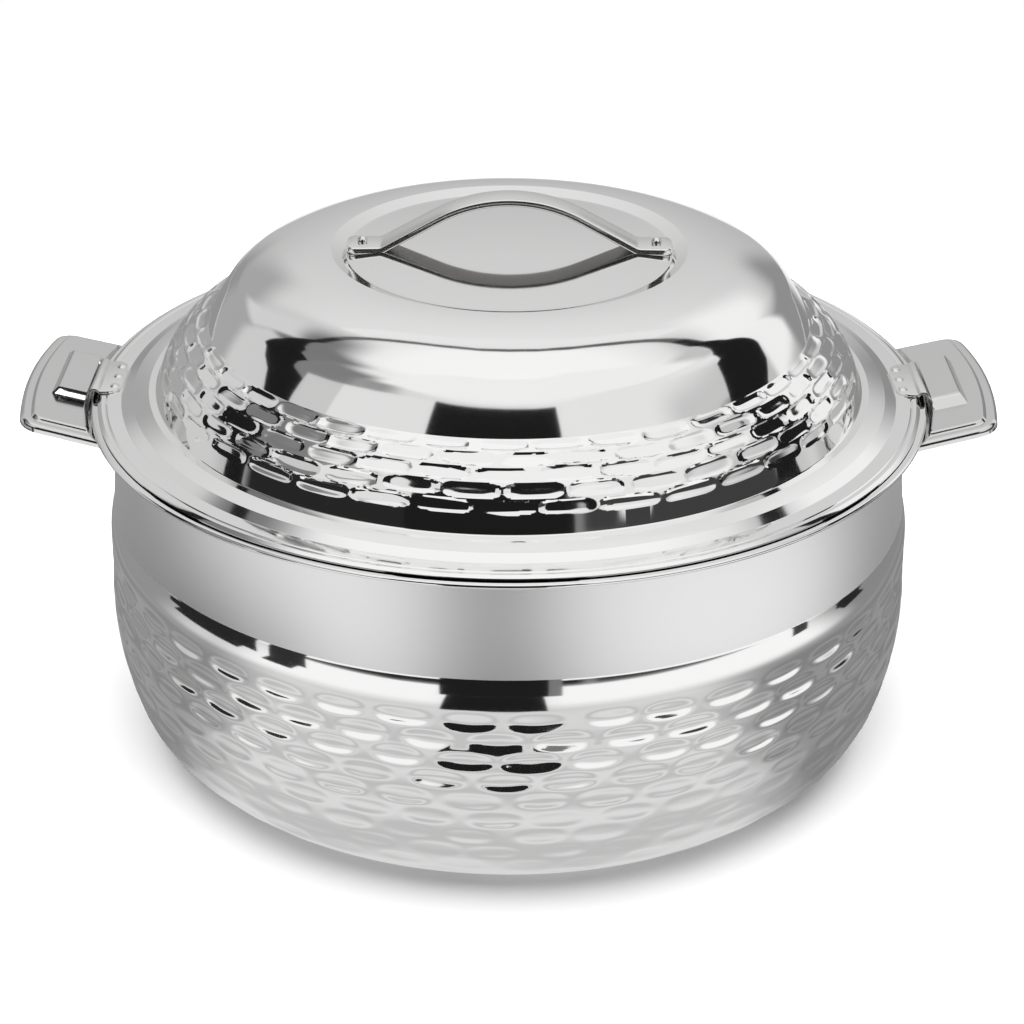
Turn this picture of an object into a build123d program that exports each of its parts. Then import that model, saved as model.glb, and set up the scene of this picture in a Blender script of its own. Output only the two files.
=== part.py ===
from build123d import *
from math import cos, hypot, radians, sin, tan
import os

# Insulated serving casserole: a double-walled pot on a recessed base, a twist-lock lid,
# two side handles whose hoods catch the lid's latches, and a strap handle on the lid.
# +Z is up, the table is z = 0 and the pot's axis is the Z axis. The handles lie along X.

os.makedirs("parts", exist_ok=True)

# Sheet and small gaps
sheet = 0.6  # steel of the four drawn shells
plate = 1.0  # stiffer steel of the side handles and latches
foam_gap = 0.2  # insulation to the steel around it
seat_gap = 0.1  # flat or riveted pieces to the curved wall behind them
crimp_gap = 0.2  # lid's inner flange to the outer one around it
hole_gap = 0.1  # rivet or plug to its hole, on the radius
seal_thickness = 0.5  # holds the lid off the rim
seal_gap = 0.3  # seal's leg to the lid's plug wall
slide_gap = 0.3  # latch to the rim that it slides over

# Pot, outside
rim_radius = 165.0
rim_height = 141.0
rim_overhang = 9.8  # rim's edge to the top of the wall
hem_width = 3.2  # rim's sheet turned back under the flange
neck_bend = 1.2
crease_drop = 41.0  # rim to the crease under the plain band
crease_out = 3.7  # crease beyond the top of the wall
band_drop = 53.0  # rim to the foot of the smooth band under the crease
band_out = 5.7
belly_drop = 68.2
belly_out = 6.0
foot_inset = 45.7  # top of the wall to the standing ring
heel_width = 28.1  # flat bend next to the ring
heel_rise = 4.0
knee_width = 18.4  # tight bend above it
knee_rise = 17.9
foot_width = 5.5  # standing ring
foot_step = 2.5
foot_rise = 3.0  # raised middle of the base

# Pot, inside
rim_width = 15.0  # rim's edge to the mouth
mouth_bend = 1.5
pot_taper = 3.0  # the wall narrows by this towards the floor
pot_corner = 45.0
pot_floor = 14.0

# Plugs of the holes that the insulation is poured through
plug_radius = 6.0
plug_head = 2.0  # the head's overlap on the sheet
plug_cap = 1.2
plug_depth = 5.0
plug_land = 1.0  # flat sheet around the head

# Lid, outside: a stepped flange, a drum that bulges in to a joint, and a dome with a flat well
lid_inset = 2.8  # rim's edge to the lid's edge
lid_flat = 9.3  # outer flat of the flange
lid_step = 4.4
lid_step_rise = 1.8
lid_slope = 6.4
lid_slope_rise = 1.5
drum_inset = 3.0  # flange's inner edge to the foot of the drum
drum_height = 9.5
drum_taper = 0.8
flange_bend = 0.7
bulge_width = 20.9
bulge_rise = 20.4
bulge_radius = 48.0
dome_wall_width = 7.7
dome_wall_rise = 12.4
shoulder_width = 7.5
shoulder_rise = 6.4
crown_rise = 9.0
well_lip_radius = 66.5
well_bend = 1.5
well_depth = 2.2
well_draft = 1.2
well_fillet = 0.5

# Lid, inside: a plug that drops into the mouth, with a domed ceiling
plug_clearance = 3.0  # lid's plug wall to the pot's mouth
plug_drop = 11.0  # below the rim
plug_foot = 9.0
plug_top_bend = 1.0
plug_foot_bend = 4.0
ceiling_rise = 48.0

# Seal
seal_width = 12.0
seal_drop = 5.5
seal_wall = 1.5

# Strap handle
strap_thickness = 2.8
strap_foot_width = 15.0
strap_top_width = 12.0
strap_finger_gap = 19.3  # well's floor to the strap's underside
strap_angle = 29.0
strap_arch = 56.0
strap_bend = 6.0
strap_end_gap = 0.8  # strap's end to the wall of the well
strap_corner = 4.0
strap_rivet_inset = 6.1  # strap's end to its rivet

# Side handles
handle_angle = 14.0  # the plate rises outwards
handle_drop = 2.1  # rim's top to the plate, at the rim's edge
handle_reach = 26.6  # rim's edge to the handle's outer edge
handle_bow = 5.0
handle_root = 22.0  # from the rim's edge back to ends hidden in the wall
handle_root_half = 46.0
handle_tip_half = 44.5
handle_corner = 9.0
handle_lip = 3.2
handle_edge = 1.8  # rounding of the turned-down edge
flange_half_angle = 15.0
flange_height = 15.0
plateau_border = 4.5
plateau_rise = 1.5
plateau_rim_gap = 2.0

# Hood: a raised pocket of the handle, open at one end and towards the rim
hood_start = 1.0  # rim's edge to the roof
hood_roof = 13.0
hood_foot = 16.0
hood_rise = 5.0
hood_open_end = 17.0
hood_closed_end = 25.0
hood_ramp = 6.0

# Latches
latch_width = 30.0
latch_inset = 0.4  # from the inner edge of the lid's outer flat
latch_overhang = 0.3  # past the lid's edge, before the joggle
latch_joggle = 1.5
latch_corner = 6.0
latch_tip_gap = 1.5  # tip to the hood's roof edge
latch_tip_corner = 3.0

# Rivets
latch_rivet_shank = 1.2
latch_rivet_head = 2.0
latch_rivet_rise = 0.9
latch_rivet_inset = 9.2  # rim's edge to the row
latch_rivet_pitch = 9.5
strap_rivet_shank = 1.5
strap_rivet_head = 2.0
strap_rivet_rise = 2.5
washer_radius = 4.5
washer_thickness = 0.8
handle_rivet_shank = 2.0
handle_rivet_head = 4.0
handle_rivet_rise = 1.6
handle_rivet_drop = 9.0  # below the handle's plate
handle_rivet_step = 10.0  # degrees between the rivets of one handle
tail_width = 1.0  # a rivet's formed tail beyond its shank
tail_rise = 1.0

# Worked out from the values above
hem_radius = 1.5 * sheet
wall_radius = rim_radius - rim_overhang
foot_radius = wall_radius - foot_inset
mouth_radius = rim_radius - rim_width
floor_radius = mouth_radius - pot_taper
neck_z = rim_height - 2 * sheet
crease = (wall_radius + crease_out, rim_height - crease_drop)
wall_lean = crease_out / (neck_z - crease[1])
lid_z = rim_height + seal_thickness
lid_edge = rim_radius - lid_inset
flat_z = lid_z + 2 * sheet
flat_inner = lid_edge - lid_flat
flange_inner = flat_inner - lid_step - lid_slope
flange_top = flat_z + lid_step_rise + lid_slope_rise
drum_top = (flange_inner - drum_inset - drum_taper, flat_z + drum_height)
joint = (drum_top[0] - bulge_width, drum_top[1] + bulge_rise)
dome_shoulder = (joint[0] - dome_wall_width, joint[1] + dome_wall_rise)
crown_foot = (dome_shoulder[0] - shoulder_width, dome_shoulder[1] + shoulder_rise)
well_lip = (well_lip_radius, crown_foot[1] + crown_rise)
well_z = well_lip[1] - well_depth
well_radius = well_lip[0] - well_bend - well_draft
lid_plug_radius = mouth_radius - plug_clearance
plug_foot_z = rim_height - plug_drop
ceiling_z = plug_foot_z + ceiling_rise
latch_z = flat_z + plate
latch_radius = rim_radius - latch_rivet_inset
strap_end = well_radius - strap_end_gap
strap_rivet_radius = strap_end - strap_rivet_inset
strap_z = well_z + strap_thickness
washer_z = well_z - sheet - washer_thickness
handle_slope = tan(radians(handle_angle))
handle_z = rim_height - handle_drop
handle_root_z = handle_z - handle_slope * rim_overhang

handle_plane = Plane(
    origin=(-rim_radius, 0, handle_z),
    x_dir=(-1, 0, handle_slope),
    z_dir=(handle_slope, 0, 1),
)


# Profiles of the four drawn shells, in the XZ plane

def outer_wall_line():
    """Outside of the pot, from the middle of the base up to the crease."""
    ring_inner = foot_radius - foot_width
    foot = (foot_radius, 0)
    heel = (foot_radius + heel_width, heel_rise)
    knee = (heel[0] + knee_width, heel[1] + knee_rise)
    belly = (wall_radius + belly_out, rim_height - belly_drop)
    band_foot = (wall_radius + band_out, rim_height - band_drop)
    with BuildLine() as line:
        Polyline((0, foot_rise), (ring_inner - foot_step, foot_rise), (ring_inner, 0), foot)
        heel_arc = TangentArc(foot, heel, tangent=(1, 0))
        knee_arc = TangentArc(heel, knee, tangent=heel_arc % 1)
        TangentArc(knee, belly, tangent=knee_arc % 1)
        belly_wall = Line(belly, band_foot)
        TangentArc(band_foot, crease, tangent=belly_wall % 1)
    return line.line


def outer_shell_line():
    """Outside of the pot, from the middle of the base to the edge of the rim's flange."""
    with BuildLine() as line:
        add(outer_wall_line())
        FilletPolyline(
            crease, (wall_radius, neck_z), (rim_radius - hem_radius, neck_z), radius=neck_bend
        )
    return line.line


def inner_wall_line():
    """Inside of the pot, from the middle of its floor to the top of the floor's bend."""
    bend_start = (floor_radius - pot_corner, pot_floor)
    with BuildLine() as line:
        Line((0, pot_floor), bend_start)
        JernArc(bend_start, (1, 0), pot_corner, 90)
    return line.line


def inner_pot_line():
    """Inside of the pot, from the middle of its floor over the rim and under the hem."""
    wall_foot = (floor_radius, pot_floor + pot_corner)
    rim_edge = (rim_radius - hem_radius, rim_height)
    hem_z = rim_height - 2 * hem_radius
    with BuildLine() as line:
        add(inner_wall_line())
        FilletPolyline(wall_foot, (mouth_radius, rim_height), rim_edge, radius=mouth_bend)
        JernArc(rim_edge, (1, 0), hem_radius, -180)
        Line((rim_edge[0], hem_z), (rim_radius - hem_width, hem_z))
    return line.line


def dome_line():
    """Outside of the lid, from the top of the plain drum over the dome to the lip of the well."""
    with BuildLine() as line:
        RadiusArc(drum_top, joint, -bulge_radius)
        dome_wall = Line(joint, dome_shoulder)
        shoulder = TangentArc(dome_shoulder, crown_foot, tangent=dome_wall % 1)
        TangentArc(crown_foot, well_lip, tangent=shoulder % 1)
    return line.line


drum_corners = ((flange_inner, flange_top), (flange_inner - drum_inset, flange_top), drum_top)
well_corners = (well_lip, (well_lip[0] - well_bend, well_lip[1]), (well_radius, well_z), (0, well_z))


def lid_outer_line():
    """Outside of the lid, from the bottom of its edge to the middle of the well."""
    with BuildLine() as line:
        FilletPolyline(
            (lid_edge, lid_z),
            (lid_edge, flat_z),
            (flat_inner, flat_z),
            (flat_inner - lid_step, flat_z + lid_step_rise),
            *drum_corners,
            radius=flange_bend,
        )
        add(dome_line())
        FilletPolyline(*well_corners, radius=well_fillet)
    return line.line


def lid_room_line():
    """The same without its small bends, from over the plug wall, for what fills the lid."""
    slope = lid_slope_rise / lid_slope
    with BuildLine() as line:
        slope_z = flange_top - slope * (lid_plug_radius - flange_inner)
        Polyline((lid_plug_radius, slope_z), *drum_corners)
        add(dome_line())
        Polyline(*well_corners)
    return line.line


def lid_inner_line():
    """Underside of the lid, from the edge of its crimped flange to the middle of the ceiling."""
    ceiling_edge = (lid_plug_radius - plug_foot, plug_foot_z)
    ceiling_flat = (plug_radius + plug_head + plug_land, ceiling_z)
    with BuildLine() as line:
        FilletPolyline(
            (lid_edge - sheet - crimp_gap, lid_z),
            (lid_plug_radius, lid_z),
            (lid_plug_radius, plug_foot_z),
            ceiling_edge,
            radius=(plug_top_bend, plug_foot_bend),
        )
        TangentArc(ceiling_edge, ceiling_flat, tangent=(1, 0), tangent_from_first=False)
        Line(ceiling_flat, (0, ceiling_z))
    return line.line


def sheet_section(line, side):
    """Section of a drawn sheet whose one face follows the line."""
    with BuildSketch(Plane.XZ) as section:
        with BuildLine():
            add(line)
            offset(amount=sheet, side=side, closed=True)
        make_face()
    return section.sketch


def filled_section(line, corners, grow):
    """Half section of what the line and the corners enclose, moved out by `grow` all round."""
    with BuildSketch(Plane.XZ) as section:
        with BuildLine():
            add(line)
            Polyline(line @ 1, *corners, line @ 0)
        make_face()
        mirror(about=Plane.YZ)
        offset(amount=grow, kind=Kind.INTERSECTION)
        split(bisect_by=Plane.YZ)
    return section.sketch


# Small pieces on the Z axis

def disc(radius, low, high):
    """Upright cylinder between two heights."""
    with BuildPart() as shape:
        with BuildSketch(Plane.XY.offset(low)):
            Circle(radius)
        extrude(amount=high - low)
    return shape.part


def rivet(shank, grip, head, rise):
    """Rivet whose head sits on z = 0 and whose shank fills the grip below."""
    with BuildPart() as shape:
        with BuildSketch(Plane.XZ):
            with BuildLine():
                TangentArc((0, rise), (head, 0), tangent=(1, 0))
                Polyline((head, 0), (shank, 0), (shank, -grip), (0, -grip), (0, rise))
            make_face()
        revolve(axis=Axis.Z)
    return shape.part


# Places of the rivets

def wall_place(angle):
    """Seat of a side handle's rivet on the outside of its flange, `angle` degrees from +X."""
    level = handle_root_z - handle_rivet_drop
    out = (seat_gap + plate) / hypot(1, wall_lean)
    seat = (wall_radius + wall_lean * (neck_z - level) + out, 0, level + out * wall_lean)
    return Location((0, 0, 0), (0, 0, angle)) * Plane(origin=seat, z_dir=(1, 0, wall_lean)).location


def latch_places(side):
    """Seats of one latch's rivets, on +X for side 1 and on -X for side -1."""
    return [Location((side * latch_radius, row * latch_rivet_pitch, latch_z)) for row in (-1, 0, 1)]


left_wall_places = [wall_place(180 + row * handle_rivet_step) for row in (-1, 0, 1)]
right_wall_places = [wall_place(row * handle_rivet_step) for row in (-1, 0, 1)]
strap_places = [Location((side * strap_rivet_radius, 0, strap_z)) for side in (-1, 1)]
handle_rivet_grip = plate + 2 * seat_gap + sheet
latch_rivet_grip = plate + 2 * sheet
strap_rivet_grip = strap_thickness + sheet + washer_thickness
handle_tail = handle_rivet_shank + tail_width
strap_tail = strap_rivet_shank + tail_width


# Pot

with BuildPart() as outer_shell:
    revolve(sheet_section(outer_shell_line(), Side.LEFT), axis=Axis.Z)
    add(disc(plug_radius, 0, foot_rise + sheet), mode=Mode.SUBTRACT)
    with Locations(*left_wall_places, *right_wall_places):
        Cylinder(handle_rivet_shank + hole_gap, 4 * handle_rivet_grip, mode=Mode.SUBTRACT)
outer_shell.part.label = "outer_shell"
export_step(outer_shell.part, "parts/outer_shell.step")

with BuildPart() as inner_pot:
    revolve(sheet_section(inner_pot_line(), Side.RIGHT), axis=Axis.Z)
inner_pot.part.label = "inner_pot"
export_step(inner_pot.part, "parts/inner_pot.step")

with BuildPart() as base_plug:
    add(disc(plug_radius + plug_head, foot_rise - plug_cap, foot_rise))
    add(disc(plug_radius - hole_gap, foot_rise, foot_rise + plug_depth))
base_plug.part.label = "base_plug"
export_step(base_plug.part, "parts/base_plug.step")

with BuildPart() as pot_insulation:
    cavity_corners = ((wall_radius, rim_height - mouth_bend), (0, rim_height - mouth_bend))
    revolve(filled_section(outer_wall_line(), cavity_corners, -sheet - foam_gap), axis=Axis.Z)
    pot_corners = ((mouth_radius, rim_height), (0, rim_height))
    revolve(
        filled_section(inner_wall_line(), pot_corners, sheet + foam_gap),
        axis=Axis.Z,
        mode=Mode.SUBTRACT,
    )
    add(disc(plug_radius + foam_gap, 0, foot_rise + plug_depth + foam_gap), mode=Mode.SUBTRACT)
    with Locations(*left_wall_places, *right_wall_places):
        Cylinder(
            handle_tail + foam_gap,
            handle_rivet_grip + tail_rise + foam_gap,
            align=(Align.CENTER, Align.CENTER, Align.MAX),
            mode=Mode.SUBTRACT,
        )
pot_insulation.part.label = "pot_insulation"
export_step(pot_insulation.part, "parts/pot_insulation.step")


# Side handles

def handle_outline(height, inset, root):
    """Plan of a side handle, at a height over its plate, `inset` inside its edge."""
    corner = handle_reach - handle_bow
    root_half = handle_root_half + (root - handle_root) * (
        (handle_root_half - handle_tip_half) / (handle_root + corner)
    )
    with BuildSketch(handle_plane.offset(height)) as outline:
        with BuildLine():
            Polyline(
                (corner, -handle_tip_half), (-root, -root_half), (-root, root_half), (corner, handle_tip_half)
            )
            ThreePointArc((corner, handle_tip_half), (handle_reach, 0), (corner, -handle_tip_half))
        make_face()
        fillet(outline.vertices().sort_by(Axis.X)[-2:], radius=handle_corner)
        if inset:
            offset(amount=-inset)
    return outline.sketch


def pressed_block(top, inset, root, depth, edge):
    """Block under the handle's outline, down from `top`, with its upper edge rounded."""
    with BuildPart() as block:
        extrude(handle_outline(top, inset, root), amount=-depth)
        upper = block.faces().sort_by(Axis(handle_plane.origin, handle_plane.z_dir))[-1]
        fillet(upper.edges().sort_by(Axis.X)[:-1], radius=edge)
    return block.part


def plateau_block(inset, low, high):
    """The raised middle of the handle, `inset` inside its edge, between two heights."""
    with BuildPart() as block:
        extrude(handle_outline(low, plateau_border + inset, handle_root), amount=high - low)
        add(disc(rim_radius + plateau_rim_gap + inset, 0, 2 * rim_height), mode=Mode.SUBTRACT)
    return block.part


def hood_block(shrink, low, high):
    """The hood's room between two heights, with its sloped faces moved in by `shrink`."""
    foot_lean = (hood_foot - hood_roof) / hood_rise
    ramp_lean = hood_ramp / hood_rise
    start = hood_start - shrink
    open_end = hood_open_end + shrink
    with BuildPart() as block:
        for height in (low, high):
            foot = hood_foot - height * foot_lean - shrink * hypot(1, foot_lean)
            closed = hood_closed_end - height * ramp_lean - shrink * hypot(1, ramp_lean)
            with BuildSketch(handle_plane.offset(height)):
                with Locations(((start + foot) / 2, (open_end - closed) / 2)):
                    Rectangle(foot - start, open_end + closed)
        loft(ruled=True)
    return block.part


def wall_band(inner, outer, low, high):
    """Section of a band that follows the plain wall, between two gaps to it and two heights."""
    slant = hypot(1, wall_lean)
    with BuildSketch(Plane.XZ) as section:
        with BuildLine():
            corners = []
            for gap, level in ((inner, low), (outer, low), (outer, high), (inner, high)):
                corners.append((wall_radius + wall_lean * (neck_z - level) + gap * slant, level))
            Polyline(*corners, close=True)
        make_face()
    return section.sketch


with BuildPart() as wall_flange:
    flange_section = wall_band(
        seat_gap, seat_gap + plate, handle_root_z - flange_height, handle_root_z - plate / 2
    )
    revolve(flange_section, axis=Axis.Z, revolution_arc=2 * flange_half_angle)

# The handle's plate ends halfway through the flange's thickness
with BuildPart() as wall_room:
    revolve(wall_band(-rim_overhang, seat_gap + plate / 2, crease[1], neck_z), axis=Axis.Z)
    add(disc(wall_radius - rim_overhang / 2, crease[1], neck_z))

with BuildPart() as handle_left:
    add(pressed_block(0, 0, handle_root, handle_lip, handle_edge))
    add(
        pressed_block(-plate, plate, handle_root + rim_overhang, handle_lip, handle_edge - plate),
        mode=Mode.SUBTRACT,
    )
    add(wall_room.part, mode=Mode.SUBTRACT)
    add(plateau_block(0, -plate / 2, plateau_rise))
    add(plateau_block(plate, -plate, plateau_rise - plate), mode=Mode.SUBTRACT)
    add(hood_block(0, -plate / 2, hood_rise))
    add(hood_block(plate, -handle_lip, hood_rise - plate), mode=Mode.SUBTRACT)
    add(wall_flange.part, rotation=(0, 0, 180 - flange_half_angle))
    with Locations(*left_wall_places):
        Cylinder(handle_rivet_shank + hole_gap, 4 * handle_rivet_grip, mode=Mode.SUBTRACT)
handle_left.part.label = "handle_left"
export_step(handle_left.part, "parts/handle_left.step")

with BuildPart() as handle_right:
    add(handle_left.part, rotation=(0, 0, 180))
handle_right.part.label = "handle_right"
export_step(handle_right.part, "parts/handle_right.step")

with BuildPart() as handle_rivet:
    add(rivet(handle_rivet_shank, handle_rivet_grip, handle_rivet_head, handle_rivet_rise))
    add(disc(handle_tail, -handle_rivet_grip - tail_rise, -handle_rivet_grip))

with BuildPart() as handle_rivets_left:
    with Locations(*left_wall_places):
        add(handle_rivet.part)
handle_rivets_left.part.label = "handle_rivets_left"
export_step(handle_rivets_left.part, "parts/handle_rivets_left.step")

with BuildPart() as handle_rivets_right:
    with Locations(*right_wall_places):
        add(handle_rivet.part)
handle_rivets_right.part.label = "handle_rivets_right"
export_step(handle_rivets_right.part, "parts/handle_rivets_right.step")


# Lid

with BuildPart() as lid_outer:
    revolve(sheet_section(lid_outer_line(), Side.LEFT), axis=Axis.Z)
    with Locations(*latch_places(-1), *latch_places(1)):
        Cylinder(latch_rivet_shank + hole_gap, 4 * latch_rivet_grip, mode=Mode.SUBTRACT)
    with Locations(*strap_places):
        Cylinder(strap_rivet_shank + hole_gap, 4 * strap_rivet_grip, mode=Mode.SUBTRACT)
lid_outer.part.label = "lid_outer"
export_step(lid_outer.part, "parts/lid_outer.step")

with BuildPart() as lid_inner:
    revolve(sheet_section(lid_inner_line(), Side.RIGHT), axis=Axis.Z)
    add(disc(plug_radius, ceiling_z, ceiling_z + sheet), mode=Mode.SUBTRACT)
    with Locations(*latch_places(-1), *latch_places(1)):
        Cylinder(latch_rivet_shank + hole_gap, 4 * latch_rivet_grip, mode=Mode.SUBTRACT)
lid_inner.part.label = "lid_inner"
export_step(lid_inner.part, "parts/lid_inner.step")

with BuildPart() as lid_plug:
    add(disc(plug_radius + plug_head, ceiling_z - plug_cap, ceiling_z))
    add(disc(plug_radius - hole_gap, ceiling_z, ceiling_z + plug_depth))
lid_plug.part.label = "lid_plug"
export_step(lid_plug.part, "parts/lid_plug.step")

with BuildPart() as lid_insulation:
    deep_z = plug_foot_z - plug_drop
    dome_corners = ((0, deep_z), (lid_plug_radius, deep_z))
    revolve(filled_section(lid_room_line(), dome_corners, -sheet - foam_gap), axis=Axis.Z)
    lower_z = deep_z - plug_drop
    lower_corners = ((0, lower_z), (lid_edge - sheet, lower_z))
    revolve(
        filled_section(lid_inner_line(), lower_corners, sheet + foam_gap),
        axis=Axis.Z,
        mode=Mode.SUBTRACT,
    )
    add(disc(plug_radius + foam_gap, ceiling_z, ceiling_z + plug_depth + foam_gap), mode=Mode.SUBTRACT)
    with Locations(*strap_places):
        Cylinder(
            washer_radius + foam_gap,
            strap_rivet_grip + tail_rise + foam_gap,
            align=(Align.CENTER, Align.CENTER, Align.MAX),
            mode=Mode.SUBTRACT,
        )
lid_insulation.part.label = "lid_insulation"
export_step(lid_insulation.part, "parts/lid_insulation.step")

with BuildPart() as lid_seal:
    seal_inner = lid_plug_radius + seal_gap
    with BuildSketch(Plane.XZ):
        with BuildLine():
            Polyline(
                (seal_inner + plug_top_bend, lid_z),
                (seal_inner, lid_z - plug_top_bend),
                (seal_inner, lid_z - seal_drop),
                (seal_inner + seal_wall, lid_z - seal_drop),
                (seal_inner + seal_wall, rim_height),
                (seal_inner + seal_width, rim_height),
                (seal_inner + seal_width, lid_z),
                close=True,
            )
        make_face()
    revolve(axis=Axis.Z)
lid_seal.part.label = "lid_seal"
export_step(lid_seal.part, "parts/lid_seal.step")


# Latches

with BuildPart() as latch_right:
    joggle_top = lid_edge + latch_overhang
    tongue_z = rim_height + slide_gap
    tip = rim_radius + hood_roof - latch_tip_gap
    latch_start = flat_inner + latch_inset
    with BuildSketch(Plane.XZ):
        with BuildLine():
            Polyline(
                (latch_start, flat_z),
                (joggle_top, flat_z),
                (joggle_top + latch_joggle, tongue_z),
                (rim_radius, tongue_z),
                (tip, tongue_z + (tip - rim_radius) * handle_slope),
            )
            offset(amount=plate, side=Side.LEFT, closed=True)
        make_face()
    extrude(amount=latch_width / 2, both=True)
    with BuildSketch(Plane.XY.offset(rim_height)) as latch_plan:
        with Locations(((latch_start + tip) / 2, 0)):
            Rectangle(tip - latch_start, latch_width)
        fillet(latch_plan.vertices().sort_by(Axis.X)[:2], radius=latch_corner)
        fillet(latch_plan.vertices().sort_by(Axis.X)[-2:], radius=latch_tip_corner)
    extrude(amount=lid_slope + plate, mode=Mode.INTERSECT)
    with Locations(*latch_places(1)):
        Cylinder(latch_rivet_shank + hole_gap, 4 * latch_rivet_grip, mode=Mode.SUBTRACT)
latch_right.part.label = "latch_right"
export_step(latch_right.part, "parts/latch_right.step")

with BuildPart() as latch_left:
    add(latch_right.part, rotation=(0, 0, 180))
latch_left.part.label = "latch_left"
export_step(latch_left.part, "parts/latch_left.step")

with BuildPart() as latch_rivets_left:
    with Locations(*latch_places(-1)):
        add(rivet(latch_rivet_shank, latch_rivet_grip, latch_rivet_head, latch_rivet_rise))
latch_rivets_left.part.label = "latch_rivets_left"
export_step(latch_rivets_left.part, "parts/latch_rivets_left.step")

with BuildPart() as latch_rivets_right:
    with Locations(*latch_places(1)):
        add(rivet(latch_rivet_shank, latch_rivet_grip, latch_rivet_head, latch_rivet_rise))
latch_rivets_right.part.label = "latch_rivets_right"
export_step(latch_rivets_right.part, "parts/latch_rivets_right.step")


# Strap handle

with BuildPart() as lid_handle:
    arch_half = strap_arch * sin(radians(strap_angle))
    arch_rise = strap_arch * (1 - cos(radians(strap_angle)))
    arm_foot = arch_half + (strap_finger_gap - arch_rise) / tan(radians(strap_angle))
    apex_z = well_z + strap_finger_gap
    with BuildSketch(Plane.XZ):
        with BuildLine():
            FilletPolyline(
                (-strap_end, well_z), (-arm_foot, well_z), (-arch_half, apex_z - arch_rise),
                radius=strap_bend,
            )
            ThreePointArc((-arch_half, apex_z - arch_rise), (0, apex_z), (arch_half, apex_z - arch_rise))
            FilletPolyline(
                (arch_half, apex_z - arch_rise), (arm_foot, well_z), (strap_end, well_z),
                radius=strap_bend,
            )
            offset(amount=strap_thickness, side=Side.LEFT, closed=True)
        make_face()
    extrude(amount=strap_foot_width / 2, both=True)
    with BuildSketch(Plane.XY.offset(well_z)) as strap_plan:
        with BuildLine():
            foot_half = strap_foot_width / 2
            ThreePointArc((-strap_end, foot_half), (0, strap_top_width / 2), (strap_end, foot_half))
            Line((strap_end, foot_half), (strap_end, -foot_half))
            ThreePointArc((strap_end, -foot_half), (0, -strap_top_width / 2), (-strap_end, -foot_half))
            Line((-strap_end, -foot_half), (-strap_end, foot_half))
        make_face()
        fillet(strap_plan.vertices(), radius=strap_corner)
    extrude(amount=2 * strap_finger_gap, mode=Mode.INTERSECT)
    with Locations(*strap_places):
        Cylinder(strap_rivet_shank + hole_gap, 4 * strap_rivet_grip, mode=Mode.SUBTRACT)
lid_handle.part.label = "lid_handle"
export_step(lid_handle.part, "parts/lid_handle.step")

with BuildPart() as lid_handle_washers:
    with Locations(*strap_places):
        add(disc(washer_radius, washer_z - strap_z, washer_z + washer_thickness - strap_z))
        Cylinder(strap_rivet_shank + hole_gap, 4 * strap_rivet_grip, mode=Mode.SUBTRACT)
lid_handle_washers.part.label = "lid_handle_washers"
export_step(lid_handle_washers.part, "parts/lid_handle_washers.step")

with BuildPart() as strap_rivet:
    add(rivet(strap_rivet_shank, strap_rivet_grip, strap_rivet_head, strap_rivet_rise))
    add(disc(strap_tail, -strap_rivet_grip - tail_rise, -strap_rivet_grip))

with BuildPart() as lid_handle_rivets:
    with Locations(*strap_places):
        add(strap_rivet.part)
lid_handle_rivets.part.label = "lid_handle_rivets"
export_step(lid_handle_rivets.part, "parts/lid_handle_rivets.step")
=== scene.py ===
import math

import bmesh
import bpy
from mathutils import Matrix, Vector


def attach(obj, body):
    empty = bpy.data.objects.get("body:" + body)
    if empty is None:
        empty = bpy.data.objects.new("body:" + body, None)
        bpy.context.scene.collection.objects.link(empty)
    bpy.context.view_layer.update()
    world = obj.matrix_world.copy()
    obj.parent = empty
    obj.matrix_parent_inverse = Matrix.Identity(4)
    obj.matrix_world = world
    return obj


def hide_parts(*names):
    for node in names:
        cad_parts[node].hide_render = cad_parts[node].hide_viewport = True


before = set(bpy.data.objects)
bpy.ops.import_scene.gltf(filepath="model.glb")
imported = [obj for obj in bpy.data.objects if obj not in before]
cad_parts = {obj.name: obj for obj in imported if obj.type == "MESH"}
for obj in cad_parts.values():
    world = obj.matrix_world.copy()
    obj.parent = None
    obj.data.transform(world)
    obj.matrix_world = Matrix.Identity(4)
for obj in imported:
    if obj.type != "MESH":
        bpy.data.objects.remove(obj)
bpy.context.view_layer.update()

mm = 0.001
scene = bpy.context.scene
print("casserole: frame loaded with", len(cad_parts), "nodes")


steel = {
    "sheet": 0.6,
    "plate": 1.0,
    "rimRadius": 165.0,
    "rimHeight": 141.0,
    "turnSteps": 320,  # facets round a plain spun piece
    "rivetSteps": 28,
}


def arcFrom(start, heading, end, count):
    # arc that leaves start along heading and lands on end; gives its points and its last heading
    runR, runZ = end[0] - start[0], end[1] - start[1]
    along = runR * heading[0] + runZ * heading[1]
    across = runZ * heading[0] - runR * heading[1]
    sweep = 2 * math.atan2(across, along)
    points = []
    for step in range(1, count + 1):
        if abs(sweep) < 1e-5:
            forward, left = math.hypot(runR, runZ) * step / count, 0
        else:
            radius = (runR ** 2 + runZ ** 2) / (2 * across)
            turn = sweep * step / count
            forward, left = radius * math.sin(turn), radius * (1 - math.cos(turn))
        points.append((
            start[0] + heading[0] * forward - heading[1] * left,
            start[1] + heading[1] * forward + heading[0] * left,
        ))
    cosine, sine = math.cos(sweep), math.sin(sweep)
    last = (heading[0] * cosine - heading[1] * sine, heading[0] * sine + heading[1] * cosine)
    return points, last


def unit(vector):
    size = math.hypot(*vector)
    return (vector[0] / size, vector[1] / size)


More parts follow.
